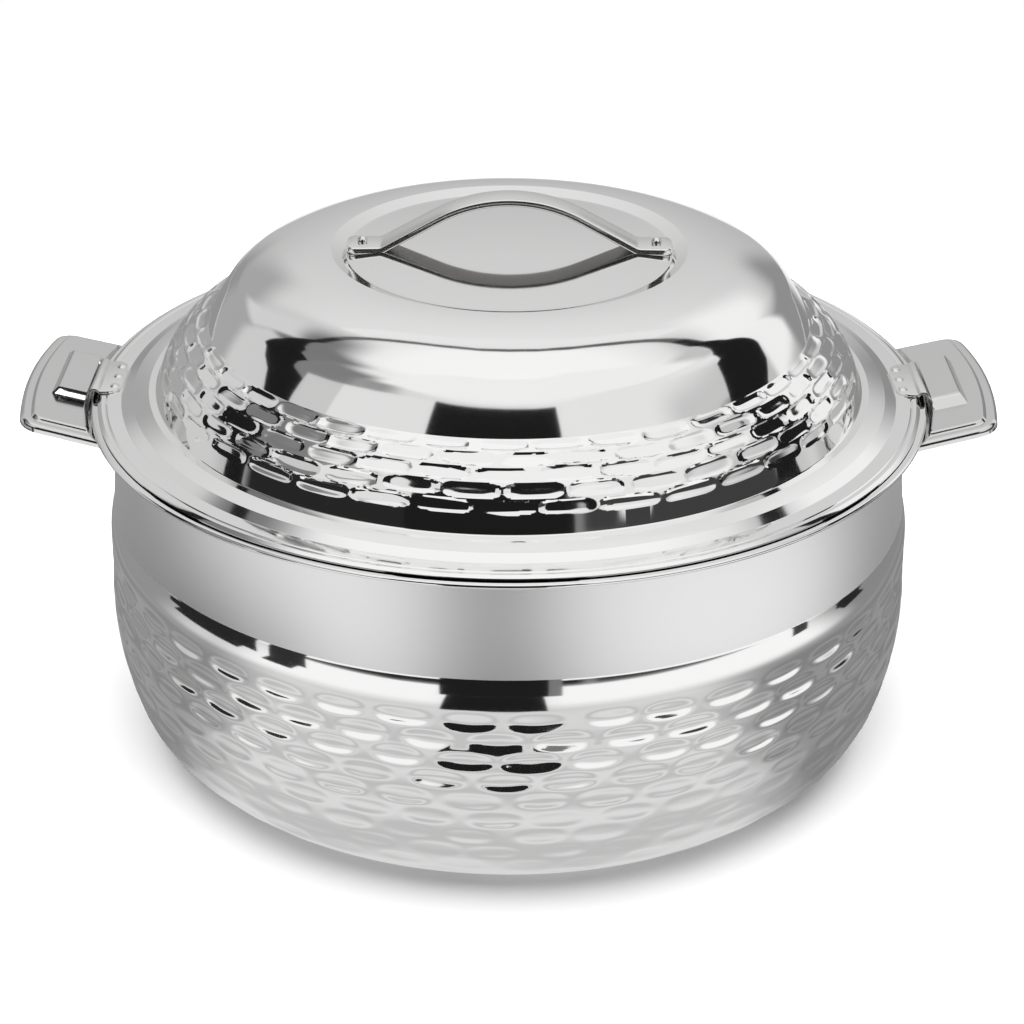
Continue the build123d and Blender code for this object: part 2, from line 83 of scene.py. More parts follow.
def bent(corners, count=5):
    # corners are (radius, height, bend); every bend becomes a small arc
    points = []
    for index, (radius, height, bend) in enumerate(corners):
        if not bend or index in (0, len(corners) - 1):
            points.append((radius, height))
            continue
        before, after = corners[index - 1], corners[index + 1]
        back = unit((before[0] - radius, before[1] - height))
        ahead = unit((after[0] - radius, after[1] - height))
        half = math.acos(max(-1, min(1, back[0] * ahead[0] + back[1] * ahead[1]))) / 2
        cut = bend / math.tan(half)
        start = (radius + back[0] * cut, height + back[1] * cut)
        end = (radius + ahead[0] * cut, height + ahead[1] * cut)
        points.append(start)
        points += arcFrom(start, (-back[0], -back[1]), end, count)[0]
    return points


def partWay(start, end, share):
    return (start[0] + (end[0] - start[0]) * share, start[1] + (end[1] - start[1]) * share)


def spread(points, pitch):
    # adds points along the runs, so that no run is longer than the pitch
    dense = [points[0]]
    for start, end in zip(points, points[1:]):
        parts = max(1, math.ceil(math.dist(start, end) / pitch))
        dense += [partWay(start, end, part / parts) for part in range(1, parts + 1)]
    return dense


def sideways(points):
    # unit normals on the left of the line, at every point
    normals = []
    for index in range(len(points)):
        before = points[max(index - 1, 0)]
        after = points[min(index + 1, len(points) - 1)]
        ahead = unit((after[0] - before[0], after[1] - before[1]))
        normals.append((-ahead[1], ahead[0]))
    return normals


def inset(points, amount):
    # the line moved to its left by the amount
    moved = []
    for index, (radius, height) in enumerate(points):
        before = points[max(index - 1, 0)]
        after = points[min(index + 1, len(points) - 1)]
        first = unit((radius - before[0], height - before[1])) if index else None
        second = unit((after[0] - radius, after[1] - height)) if index < len(points) - 1 else None
        first, second = first or second, second or first
        middle = unit((first[0] + second[0], first[1] + second[1]))
        stretch = min(amount / max(0.5, middle[0] * first[0] + middle[1] * first[1]), 2 * amount, key=abs)
        moved.append((max(0, radius - middle[1] * stretch), height + middle[0] * stretch))
    return moved


def runsAlong(points):
    # distance from the line's start to every point of it
    runs = [0.0]
    for start, end in zip(points, points[1:]):
        runs.append(runs[-1] + math.dist(start, end))
    return runs


def newMesh():
    return {"points": [], "faces": []}


def addTurned(mesh, loop, steps, place=None, dents=None, closed=True):
    # turns a section round the upright axis; dents maps a loop index to a list of inward moves
    rings = []
    for index, (radius, height) in enumerate(loop):
        first = len(mesh["points"])
        if radius < 1e-6:
            point = Vector((0, 0, height))
            mesh["points"].append(place @ point if place else point)
            rings.append([first] * steps)
            continue
        moves = dents.get(index) if dents else None
        for step in range(steps):
            turn = 2 * math.pi * step / steps
            out, up = radius, height
            if moves:
                out += moves[step][0]
                up += moves[step][1]
            point = Vector((out * math.cos(turn), out * math.sin(turn), up))
            mesh["points"].append(place @ point if place else point)
        rings.append(list(range(first, first + steps)))
    pairs = list(zip(rings, rings[1:]))
    if closed:
        pairs.append((rings[-1], rings[0]))
    for lower, upper in pairs:
        if lower[0] == lower[1] and upper[0] == upper[1]:
            continue
        for step in range(steps):
            after = (step + 1) % steps
            corners = [lower[step], lower[after], upper[after], upper[step]]
            face = [corner for spot, corner in enumerate(corners) if corner not in corners[:spot]]
            mesh["faces"].append(face)
    return mesh


def makePiece(name, mesh, body, nodes, material, crease=35, part=None, partMaterial=None):
    # part, if given, tells from a face's middle in millimetres whether it takes the second material
    data = bpy.data.meshes.new(name)
    points = [tuple(coordinate * mm for coordinate in point) for point in mesh["points"]]
    data.from_pydata(points, [], mesh["faces"])
    built = bmesh.new()
    built.from_mesh(data)
    bmesh.ops.remove_doubles(built, verts=built.verts, dist=1e-7)
    bmesh.ops.recalc_face_normals(built, faces=built.faces)
    built.to_mesh(data)
    built.free()
    data.shade_smooth()
    data.set_sharp_from_angle(angle=math.radians(crease))
    piece = bpy.data.objects.new(name, data)
    scene.collection.objects.link(piece)
    data.materials.append(material)
    if part:
        data.materials.append(partMaterial)
        for face in data.polygons:
            face.material_index = 1 if part(face.center / mm, face.normal) else 0
    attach(piece, body)
    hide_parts(*nodes)


def ease(share):
    share = max(0.0, min(1.0, share))
    return share * share * (3 - 2 * share)


def chance(*seeds):
    # repeatable number between 0 and 1 for a cell of the hammered pattern
    mixed = sum(seed * factor for seed, factor in zip(seeds, (12.9898, 78.233, 37.719)))
    value = math.sin(mixed) * 43758.5453
    return value - math.floor(value)


swayWaves = ((5, 0.1, 1.0), (13, 0.6, 0.7))  # waves a turn, start and share of the rows' wander


def hammered(points, first, last, marks):
    # inward moves of the line's points between two indexes: rows of long dimples laid like bricks
    runs = runsAlong(points)
    rows = round((runs[last] - runs[first]) / marks["rowPitch"])
    rowHeight = (runs[last] - runs[first]) / rows
    normals = sideways(points)
    dents = {}
    for index in range(first, last + 1):
        moves = []
        for step in range(marks["steps"]):
            turn = step / marks["steps"]
            sway = sum(
                share * math.sin(2 * math.pi * (waves * turn + ahead)) for waves, ahead, share in swayWaves
            )
            level = (runs[index] - runs[first] + marks["sway"] * sway) / rowHeight
            row = math.floor(level)
            if not 0 <= row < rows:
                moves.append((0, 0))
                continue
            upright = 2 * (level - row) - 1
            column = turn * marks["around"] + 0.5 * (row % 2) + 0.22 * chance(row, 3)
            cell = math.floor(column)
            sideway = 2 * (column - cell) - 1
            cell = cell % marks["around"]
            depth = marks["depth"] * (1 - marks["uneven"] * chance(row, cell))
            stray = marks["stray"] * (2 * chance(cell, row, 2) - 1)
            wide = 1 - marks["vary"] * chance(cell, row, 4)
            tall = 1 - marks["vary"] * chance(row, cell, 6)
            reach = (abs((sideway - stray) / wide) ** marks["length"]
                     + abs((upright - stray / 2) / tall) ** marks["flatness"])
            slant = sideway * (2 * chance(row, 9, cell) - 1) + 0.7 * upright * (2 * chance(cell, 4, row) - 1)
            bowl = ease(max(0, 1 - reach) ** marks["ridge"]) * (1 + marks["lean"] * slant)
            edge = min(runs[index] - runs[first], runs[last] - runs[index]) / marks["fade"]
            move = depth * bowl * max(0, min(1, edge))
            moves.append((normals[index][0] * move, normals[index][1] * move))
        dents[index] = moves
    return dents


def hammeredSheet(line, first, last, marks):
    # spun sheet with the same dimples on both of its faces
    dents = hammered(line, first, last, marks)
    hidden = inset(line, steel["sheet"])
    hiddenDents = {2 * len(line) - 1 - index: moves for index, moves in dents.items()}
    return addTurned(newMesh(), line + hidden[::-1], marks["steps"], dents={**dents, **hiddenDents})


def plainSheet(line):
    return addTurned(newMesh(), line + inset(line, -steel["sheet"])[::-1], steel["turnSteps"])


def setInputs(tree, node, values):
    # a value is a number, a colour or another node's output
    for name, value in values.items():
        if isinstance(value, bpy.types.NodeSocket):
            tree.links.new(value, node.inputs[name])
        else:
            node.inputs[name].default_value = value


def addNode(tree, kind, values=None, **settings):
    node = tree.nodes.new("ShaderNode" + kind)
    for name, setting in settings.items():
        setattr(node, name, setting)
    setInputs(tree, node, values or {})
    return node


def setShader(tree, values):
    setInputs(tree, tree.nodes["Principled BSDF"], values)


def newMaterial(name, look, metallic, detail):
    # material whose colour drifts a little with a soft noise
    material = bpy.data.materials.new(name)
    material.use_nodes = True
    tree = material.node_tree
    place = addNode(tree, "TexCoord").outputs["Object"]
    cloud = addNode(tree, "TexNoise", {"Scale": look["cloudScale"], "Detail": detail, "Vector": place})
    tone = addNode(tree, "Mix", {
        "A": (*[channel * (1 - look["drift"]) for channel in look["colour"]], 1),
        "B": (*look["colour"], 1), "Factor": cloud.outputs["Fac"],
    }, data_type="RGBA")
    setShader(tree, {
        "Metallic": metallic, "Roughness": look["roughness"], "Base Color": tone.outputs["Result"],
    })
    return material, tree, place, cloud.outputs["Fac"]


def addBump(tree, height, strength, depth):
    bump = addNode(tree, "Bump", {"Strength": strength, "Distance": depth, "Height": height})
    setShader(tree, {"Normal": bump.outputs["Normal"]})


def metal(name, look):
    # steel whose tone and gloss drift a little, with fine polishing lines
    material, tree, place, cloud = newMaterial(name, look, 1, 3)
    dull, smear = look["roughness"], look["smear"]
    gloss = addNode(tree, "MapRange", {"To Min": dull - smear, "To Max": dull + smear, "Value": cloud})
    setShader(tree, {"Roughness": gloss.outputs["Result"]})
    stretch = addNode(tree, "Mapping", {"Scale": look["brushScale"], "Vector": place})
    lines = addNode(tree, "TexNoise", {"Scale": 1, "Detail": 2, "Vector": stretch.outputs["Vector"]})
    addBump(tree, lines.outputs["Fac"], look["brushStrength"], look["brushDepth"])
    if "spread" in look:
        # satin finish that spreads reflections sideways
        tangent = addNode(tree, "Tangent", direction_type="RADIAL", axis="Z")
        setShader(tree, {"Anisotropic": look["spread"], "Tangent": tangent.outputs["Tangent"]})
    return material


def soft(name, look):
    # foam or rubber: cloudy tone and a fine pebbled skin
    material, tree, place, _ = newMaterial(name, look, 0, 2)
    grain = addNode(tree, "TexVoronoi", {"Scale": look["grainScale"], "Vector": place})
    addBump(tree, grain.outputs["Distance"], look["grainStrength"], look["grainDepth"])
    return material


mirrorLook = {
    "colour": (0.93, 0.93, 0.925), "roughness": 0.06, "smear": 0.02, "drift": 0.04, "cloudScale": 9,
    "brushScale": (140, 140, 140), "brushStrength": 0.03, "brushDepth": 0.0001,
}
satinLook = {
    "colour": (0.92, 0.92, 0.92), "roughness": 0.34, "smear": 0.03, "drift": 0.03, "cloudScale": 6,
    "brushScale": (8, 8, 2600), "brushStrength": 0.1, "brushDepth": 0.00004, "spread": 0.85,
}
strapLook = {
    "colour": (0.87, 0.87, 0.86), "roughness": 0.18, "smear": 0.04, "drift": 0.06, "cloudScale": 30,
    "brushScale": (60, 1500, 60), "brushStrength": 0.2, "brushDepth": 0.0001,
}
# painted shade: dark steel for the strap's underside, standing in for the shadow under the strap
shadedUnderLook = {
    "colour": (0.27, 0.26, 0.25), "roughness": 0.38, "smear": 0.05, "drift": 0.1, "cloudScale": 30,
    "brushScale": (60, 1500, 60), "brushStrength": 0.2, "brushDepth": 0.0001,
}
handleLook = {
    "colour": (0.74, 0.74, 0.735), "roughness": 0.15, "smear": 0.03, "drift": 0.05, "cloudScale": 18,
    "brushScale": (140, 140, 140), "brushStrength": 0.04, "brushDepth": 0.0001,
}
rivetLook = {
    "colour": (0.82, 0.82, 0.81), "roughness": 0.16, "smear": 0.04, "drift": 0.08, "cloudScale": 300,
    "brushScale": (400, 400, 400), "brushStrength": 0.1, "brushDepth": 0.0001,
}
foamLook = {
    "colour": (0.82, 0.72, 0.48), "roughness": 0.85, "drift": 0.15, "cloudScale": 40,
    "grainScale": 700, "grainStrength": 0.6, "grainDepth": 0.0006,
}
rubberLook = {
    "colour": (0.02, 0.02, 0.022), "roughness": 0.5, "drift": 0.2, "cloudScale": 60,
    "grainScale": 1500, "grainStrength": 0.2, "grainDepth": 0.0002,
}
mirrorSteel = metal("mirrorSteel", mirrorLook)
satinSteel = metal("satinSteel", satinLook)
strapSteel = metal("strapSteel", strapLook)
shadedUnderSteel = metal("shadedUnderSteel", shadedUnderLook)
handleSteel = metal("handleSteel", handleLook)
rivetSteel = metal("rivetSteel", rivetLook)
pouredFoam = soft("pouredFoam", foamLook)
blackRubber = soft("blackRubber", rubberLook)
print("casserole: materials mixed")


shellMarks = {
    "around": 42, "rowPitch": 8.6, "depth": 0.70, "uneven": 0.55, "length": 2.6, "flatness": 2.0,
    "ridge": 1.15, "stray": 0.12, "vary": 0.12, "lean": 0.4, "sway": 0.5, "fade": 5.0, "steps": 924,
}
shellForm = {
    # from the filling hole to the foot
    "ring": [(6.0, 3.0, 0), (101.5, 3.0, 1.0), (104.0, 0.0, 1.0), (109.5, 0.0, 0)],
    "heel": (137.6, 4.0), "knee": (156.0, 21.9), "belly": (161.2, 72.8), "bandFoot": (160.9, 88.0),
    "crease": (158.9, 100.0), "neck": (155.2, 139.8, 1.2), "rim": (164.1, 139.8, 0), "pitch": 0.95,
    "plainFoot": 6,  # points above the foot without dimples
    "satinLow": 100.2, "satinInside": 154.9, "satinLean": 0.093,
}


def shellLine():
    form = shellForm
    foot, belly, bandFoot = form["ring"][-1][:2], form["belly"], form["bandFoot"]
    base = bent(form["ring"])
    heelArc, heading = arcFrom(foot, (1, 0), form["heel"], 16)
    kneeArc, heading = arcFrom(form["heel"], heading, form["knee"], 18)
    bellyArc = arcFrom(form["knee"], heading, belly, 30)[0]
    heading = unit((bandFoot[0] - belly[0], bandFoot[1] - belly[1]))
    bandArc = arcFrom(bandFoot, heading, form["crease"], 14)[0]
    lower = spread([foot] + heelArc + kneeArc + bellyArc + [bandFoot], form["pitch"])
    upper = bent([(*form["crease"], 0), form["neck"], form["rim"]])
    first = len(base) - 1
    return base[:-1] + lower + bandArc + upper[1:], first, first + len(lower) - 1


potLiningForm = {
    "floor": (102.0, 14.0), "corner": (147.0, 59.0), "neck": 150.0, "neckBend": 1.5, "flange": 164.1,
    "hemOut": 0.84, "hemDrop": 0.9, "hemEnd": (161.8, 139.2),
}


def potLiningLine():
    form = potLiningForm
    rim, flange = steel["rimHeight"], form["flange"]
    corner = arcFrom(form["floor"], (1, 0), form["corner"], 20)[0]
    wall = bent([(*form["corner"], 0), (form["neck"], rim, form["neckBend"]), (flange, rim, 0)])
    hem = []
    for step in range(1, 11):
        turn = math.pi * step / 10
        hem.append((flange + form["hemOut"] * math.sin(turn), rim - form["hemDrop"] * (1 - math.cos(turn))))
    return [(0.0, form["floor"][1]), form["floor"]] + corner + wall[1:] + hem + [form["hemEnd"]]


def buildPot():
    form = shellForm
    line, first, last = shellLine()
    shell = hammeredSheet(line, first + form["plainFoot"], last, shellMarks)

    def isBand(middle, facing):
        inside = form["satinInside"] + form["satinLean"] * (form["neck"][1] - middle.z)
        return middle.z > form["satinLow"] and math.hypot(middle.x, middle.y) > inside

    makePiece(
        "potShell", shell, "pot", ["outer_shell"], mirrorSteel,
        part=isBand, partMaterial=satinSteel,
    )
    makePiece("potLining", plainSheet(potLiningLine()), "pot", ["inner_pot"], mirrorSteel)


buildPot()
print("casserole: pot spun")


lidMarks = {
    "around": 38, "rowPitch": 5.8, "depth": 0.72, "uneven": 0.35, "length": 4.0, "flatness": 2.5,
    "ridge": 0.7, "stray": 0.10, "vary": 0.10, "lean": 0.6, "sway": 0.5, "fade": 2.0, "steps": 988,
}
lidForm = {
    "flange": [
        (162.2, 141.5, 0), (162.2, 142.0, 0.2), (160.7, 142.7, 0.4), (159.4, 142.7, 0.2),
        (158.9, 142.4, 0.2), (158.4, 142.7, 0.2), (152.9, 142.7, 0.7), (148.5, 144.5, 0.7),
        (142.1, 146.0, 0.7), (139.1, 146.0, 0.7),
    ],
    "drumTop": (137.0, 152.2), "joint": (117.4, 172.6), "shoulder": (109.7, 185.0), "crown": (102.2, 191.4),
    "lip": (69.0, 200.1), "wellEdge": (63.4, 198.2), "wellRadius": 63.0,
    "bulge": 34.0,  # radius of the hammered band's arc
    "lean": 28.0,  # degrees that the wall's foot looks up
    "swell": 2.3,  # rise of the well's floor in the middle
}


def lidLine():
    form = lidForm
    drumTop, joint = form["drumTop"], form["joint"]
    flange = bent(form["flange"] + [(*drumTop, 0)])
    chord = unit((joint[0] - drumTop[0], joint[1] - drumTop[1]))
    half = math.asin(math.dist(drumTop, joint) / 2 / form["bulge"])
    cosine, sine = math.cos(half), math.sin(half)
    start = (chord[0] * cosine + chord[1] * sine, chord[1] * cosine - chord[0] * sine)
    bulge = [drumTop] + arcFrom(drumTop, start, joint, 66)[0]
    lean = math.radians(form["lean"])
    wallArc, heading = arcFrom(joint, (-math.sin(lean), math.cos(lean)), form["shoulder"], 12)
    shoulderArc, heading = arcFrom(form["shoulder"], heading, form["crown"], 18)
    crownArc = arcFrom(form["crown"], heading, form["lip"], 24)[0]
    well = [form["wellEdge"]]
    for step in range(29):
        share = 1 - step / 28
        well.append((form["wellRadius"] * share, form["wellEdge"][1] + form["swell"] * (1 - share ** 2)))
    first = len(flange) - 1
    return flange[:-1] + bulge + wallArc + shoulderArc + crownArc + well, first, first + len(bulge) - 1


lidLiningForm = {
    "wall": [(161.4, 141.5, 0), (147.0, 141.5, 1.0), (147.0, 130.0, 4.0), (138.0, 130.0, 0)],
    "ceiling": (9.0, 178.0), "hole": 6.0,
}


def lidLiningLine():
    form = lidLiningForm
    ceiling = arcFrom(form["ceiling"], (1, 0), form["wall"][-1][:2], 30)[0]
    return bent(form["wall"]) + ceiling[::-1][1:] + [form["ceiling"], (form["hole"], form["ceiling"][1])]


def buildLid():
    line, first, last = lidLine()
    dome = hammeredSheet(line, first, last, lidMarks)
    makePiece("lidDome", dome, "lid", ["lid_outer"], mirrorSteel, 12)
    makePiece("lidLining", plainSheet(lidLiningLine()), "lid", ["lid_inner"], mirrorSteel)


buildLid()
print("casserole: lid spun")


potFoamForm = {
    "shellGap": 1.8, "liningGap": 0.9, "top": 138.5, "shoulder": 154.0, "liningTop": 138.0,
    "liningRadius": 150.5, "hole": 6.2, "floor": 13.1, "pastBand": 12, "steps": 96,
}
lidFoamForm = {
    "domeGap": 2.0, "liningGap": 0.9, "domeRadius": 146.0, "domeLow": 142.6, "liningRadius": 146.9,
    "liningTop": 178.5, "hole": 6.2, "ceiling": 179.0, "rim": (145.8, 142.0), "steps": 96,
}
sealForm = {
    "section": [
        (148.3, 141.5, 0), (147.3, 140.5, 0.1), (147.3, 136.0, 0.3), (148.8, 136.0, 0.3), (148.8, 141.0, 0.1),
        (159.3, 141.0, 0.2), (159.3, 141.5, 0),
    ],
}


def foamSide(line, form):
    # the part of a lining's line that foam lies against
    return [point for point in line if point[0] < form["liningRadius"] and point[1] < form["liningTop"]]


def buildFilling():
    form = potFoamForm
    line, _, last = shellLine()
    outside = inset(line[:last + form["pastBand"]], form["shellGap"])
    wall = [point for point in outside if point[1] < form["top"]]
    inside = inset(foamSide(potLiningLine(), form), -form["liningGap"])
    loop = [(form["hole"], wall[0][1])] + wall + [(form["shoulder"], form["top"])]
    loop += inside[::-1][:-1] + [(form["hole"], form["floor"])]
    foam = addTurned(newMesh(), loop, form["steps"])
    makePiece("potFoam", foam, "pot", ["pot_insulation"], pouredFoam)
    form = lidFoamForm
    under = inset(lidLine()[0], form["domeGap"])
    top = [point for point in under if point[0] < form["domeRadius"] and point[1] > form["domeLow"]]
    bottom = inset(foamSide(lidLiningLine(), form), -form["liningGap"])
    loop = [(form["hole"], form["ceiling"])] + bottom[::-1][1:] + [form["rim"]]
    loop += top[:-1] + [(form["hole"], top[-1][1])]
    foam = addTurned(newMesh(), loop, form["steps"])
    makePiece("lidFoam", foam, "lid", ["lid_insulation"], pouredFoam)


def buildSeal():
    ring = addTurned(newMesh(), bent(sealForm["section"], 3), steel["turnSteps"])
    makePiece("sealRing", ring, "seal", ["lid_seal"], blackRubber)


buildFilling()
buildSeal()
plainNodes = {"base_plug": blackRubber, "lid_plug": blackRubber, "lid_handle_washers": rivetSteel}
for nodeName, finish in plainNodes.items():
    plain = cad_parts[nodeName]
    plain.data.materials.clear()
    plain.data.materials.append(finish)
print("casserole: foam and seal laid in")


def addStrip(mesh, path, thickness, halfWidths, edge):
    # bar of rounded section whose underside follows the path of (x, z); width lies along Y
    normals = sideways(path)
    section = []
    for side, level, start in ((1, 1, 0), (-1, 1, 90), (-1, 0, 180), (1, 0, 270)):
        for step in range(4):
            turn = math.radians(start + 30 * step)
            section.append((side, level, math.cos(turn), math.sin(turn)))
    first = len(mesh["points"])
    for (along, height), (normalX, normalZ), half in zip(path, normals, halfWidths):
        for side, level, outward, upward in section:
            across = side * (half - edge) + edge * outward
            lift = (thickness - edge if level else edge) + edge * upward
            mesh["points"].append(Vector((along + normalX * lift, across, height + normalZ * lift)))
    count = len(section)
    for station in range(len(path) - 1):
        for step in range(count):
            after = (step + 1) % count
            lower, upper = first + station * count, first + (station + 1) * count
            mesh["faces"].append([lower + step, lower + after, upper + after, upper + step])
    mesh["faces"].append([first + step for step in range(count)][::-1])
    mesh["faces"].append([first + (len(path) - 1) * count + step for step in range(count)])
    return mesh


def cornered(path, widthAt, startCorner, endCorner):
    # half widths along a path whose ends have rounded corners in plan
    runs = runsAlong(path)
    halves = []
    for (along, _), run in zip(path, runs):
        cut = 0
        for corner, distance in ((startCorner, run), (endCorner, runs[-1] - run)):
            if distance < corner:
                cut = max(cut, corner - math.sqrt(corner ** 2 - (corner - distance) ** 2))
        halves.append(widthAt(along) - cut)
    return halves


strapForm = {
    "reach": 63.0, "wellHeight": 198.2, "foot": 49.3, "bend": 6.0, "archHalf": 27.15, "archStart": 210.48,
    "angle": 29.0, "thickness": 2.79, "endHalf": 7.5, "middleHalf": 6.0, "corner": 4.0, "edge": 0.7,
    "rivetAt": 56.9,
}
latchForm = {
    "start": 153.3, "flat": 142.7, "joggleStart": 161.4, "joggleRun": 1.3, "crest": 143.9, "dropRun": 1.4,
    "joggleEnd": 165.3, "tongue": 141.3, "tip": 176.5, "half": 15.0, "startCorner": 6.0, "tipCorner": 3.0,
    "edge": 0.22, "rivetAt": 155.8, "rivetPitch": 9.5,
}


def buildStrap():
    form = strapForm
    left = bent([
        (-form["reach"], form["wellHeight"], 0), (-form["foot"], form["wellHeight"], form["bend"]),
        (-form["archHalf"], form["archStart"], 0),
    ], 8)
    turn = math.radians(form["angle"])
    arch = arcFrom(left[-1], (math.cos(turn), math.sin(turn)), (form["archHalf"], form["archStart"]), 40)[0]
    right = [(-along, height) for along, height in left[::-1]]
    path = spread(left + arch + right[1:], 1.0)

    def widthAt(along):
        share = (along / form["reach"]) ** 2
        return form["middleHalf"] + (form["endHalf"] - form["middleHalf"]) * share

    halves = cornered(path, widthAt, form["corner"], form["corner"])
    strap = addStrip(newMesh(), path, form["thickness"], halves, form["edge"])

    def isUnder(middle, facing):
        return facing.z < -0.3

    # faces looking down take the dark steel as painted shade under the strap
    makePiece("strapHandle", strap, "lid", ["lid_handle"], strapSteel, 40, isUnder, shadedUnderSteel)


def turnedRound(points):
    # the other side's copy, half a turn on
    return [Vector((-point.x, -point.y, point.z)) for point in points]


def buildLatch(name, node, flip):
    form = latchForm
    rise = (form["tip"] - steel["rimRadius"]) * math.tan(math.radians(handleForm["slope"]))
    path = bent([
        (form["start"], form["flat"], 0), (form["joggleStart"], form["flat"], 0.5),
        (form["joggleStart"] + form["joggleRun"], form["crest"], 0.6),
        (form["joggleEnd"] - form["dropRun"], form["crest"], 0.6),
        (form["joggleEnd"], form["tongue"], 0.4), (form["tip"], form["tongue"] + rise, 0),
    ], 4)
    path = spread(path, 0.6)
    halves = cornered(path, lambda along: form["half"], form["startCorner"], form["tipCorner"])
    strip = addStrip(newMesh(), path, steel["plate"], halves, form["edge"])
    if flip:
        strip["points"] = turnedRound(strip["points"])
    makePiece(name, strip, "lid", [node], strapSteel, 40)


rivetForms = {
    "latch": {"shank": 1.2, "grip": 2.2, "head": 2.0, "rise": 0.9, "tail": 0, "tailRise": 0},
    "strap": {"shank": 1.5, "grip": 4.2, "head": 2.0, "rise": 2.5, "tail": 2.5, "tailRise": 1.0},
    "handle": {"shank": 2.0, "grip": 1.8, "head": 4.0, "rise": 1.6, "tail": 3.0, "tailRise": 1.0},
}


def buildRivets(name, node, body, form, places):
    dome = [(0.0, form["rise"])] + arcFrom((0.0, form["rise"]), (1, 0), (form["head"], 0.0), 8)[0]
    foot = [(form["shank"], 0.0), (form["shank"], -form["grip"])]
    if form["tail"]:
        shank, tail = form["shank"], form["tail"]
        high, low = -form["grip"], -form["grip"] - form["tailRise"]
        foot += bent([(shank, high, 0), (tail, high, 0.3), (tail, low, 0.3), (0.0, low, 0)], 3)[1:]
    else:
        foot.append((0.0, -form["grip"]))
    rivets = newMesh()
    for place in places:
        addTurned(rivets, dome + foot, steel["rivetSteps"], place, closed=False)
    makePiece(name, rivets, body, [node], rivetSteel)


handleForm = {
    "slope": 14.0, "height": 138.9, "reach": 26.45, "corner": 21.6, "tipHalf": 44.5, "root": -15.6,
    "rootHalf": 45.78, "bend": 9.0, "lip": 3.2, "edge": 1.8, "border": 3.8, "press": 1.1, "rise": 1.5,
    "rimGap": 1.3, "wall": 155.8,
    "depths": [0, 0.12, 0.35, 0.7, 1.15, 1.8, 2.8, 3.8, 4.1, 4.4, 4.7, 5.0, 5.4],  # rings in from the edge
}
hoodForm = {
    "start": 1.8, "roof": 13.0, "foot": 16.0, "rise": 5.0, "open": 17.0, "closed": -25.0, "ramp": 6.0,
    "soften": 0.9, "low": 1.1, "footCut": 1.6, "closedCut": 2.6,
}
flangeForm = {
    "half": 15.0, "low": 121.5, "high": 135.6, "corner": 4.0, "wall": 155.3, "lean": 0.093, "top": 139.8,
    "gap": 0.1, "rivetRadius": 157.45, "rivetHeight": 127.56, "rivetTurn": 10,
}


def freeEdge(depth):
    # edge of the handle in plan, moved in by the depth: side, corner, bowed end, corner, side
    form = handleForm
    sideRun = unit((form["root"] - form["corner"], form["rootHalf"] - form["tipHalf"]))
    inward = (-sideRun[1], sideRun[0])
    bow = form["reach"] - form["corner"]
    endRadius = (form["tipHalf"] ** 2 + bow ** 2) / (2 * bow)
    centre = form["reach"] - endRadius
    start = (form["root"] + inward[0] * depth, form["rootHalf"] + inward[1] * depth)

    def onSide(along):
        return (start[0] - sideRun[0] * along, start[1] - sideRun[1] * along)

    def miss(along):
        return abs(math.dist(onSide(along), (centre, 0)) - (endRadius - depth))

    meet = onSide(min((step * 0.02 for step in range(4001)), key=miss))
    bend = max(0.5, form["bend"] - depth)
    aim = unit((meet[1], -(meet[0] - centre)))
    corner = bent([(*start, 0), (*meet, bend), (meet[0] + aim[0] * 30, meet[1] + aim[1] * 30, 0)], 12)
    upper = [start] + [partWay(start, corner[1], step / 70) for step in range(1, 70)] + corner[1:-1]
    last = upper[-1]
    turn = math.atan2(last[1], last[0] - centre)
    radius = math.hypot(last[0] - centre, last[1])
    bowLine = []
    for step in range(1, 40):
        angle = turn * (1 - 2 * step / 40)
        bowLine.append((centre + radius * math.cos(angle), radius * math.sin(angle)))
    lower = [(along, -across) for along, across in upper[::-1]]
    return upper + bowLine + lower


def plateLevel(along, across, depth):
    form = handleForm
    level = 0.0
    if depth < form["edge"]:
        level -= form["edge"] - math.sqrt(max(0, form["edge"] ** 2 - (form["edge"] - depth) ** 2))
    distance = math.hypot(steel["rimRadius"] + along, across)
    away = ease((distance - steel["rimRadius"] - form["rimGap"]) / form["press"])
    return level + form["rise"] * ease((depth - form["border"]) / form["press"]) * away


def cutGrid(built, cutsAlong, cutsAcross):
    for axis, cuts in ((0, cutsAlong), (1, cutsAcross)):
        for cut in cuts:
            place, normal = [0, 0, 0], [0, 0, 0]
            place[axis], normal[axis] = cut, 1
            everything = built.verts[:] + built.edges[:] + built.faces[:]
            bmesh.ops.bisect_plane(built, geom=everything, dist=1e-5, plane_co=place, plane_no=normal)


def thicken(built, thickness):
    # adds the underside and the edges of a sheet whose upper face is given
    bmesh.ops.recalc_face_normals(built, faces=built.faces)
    built.normal_update()
    if sum(face.normal.z * face.calc_area() for face in built.faces) < 0:
        bmesh.ops.reverse_faces(built, faces=built.faces)
        built.normal_update()
    built.verts.ensure_lookup_table()
    built.verts.index_update()
    points = [vert.co.copy() for vert in built.verts]
    count = len(points)
    points += [vert.co - vert.normal * thickness for vert in built.verts]
    faces = [[vert.index for vert in face.verts] for face in built.faces]
    faces += [[index + count for index in face[::-1]] for face in faces]
    for edge in built.edges:
        if edge.is_boundary:
            one, two = edge.verts[0].index, edge.verts[1].index
            faces.append([one, two, two + count, one + count])
    return points, faces


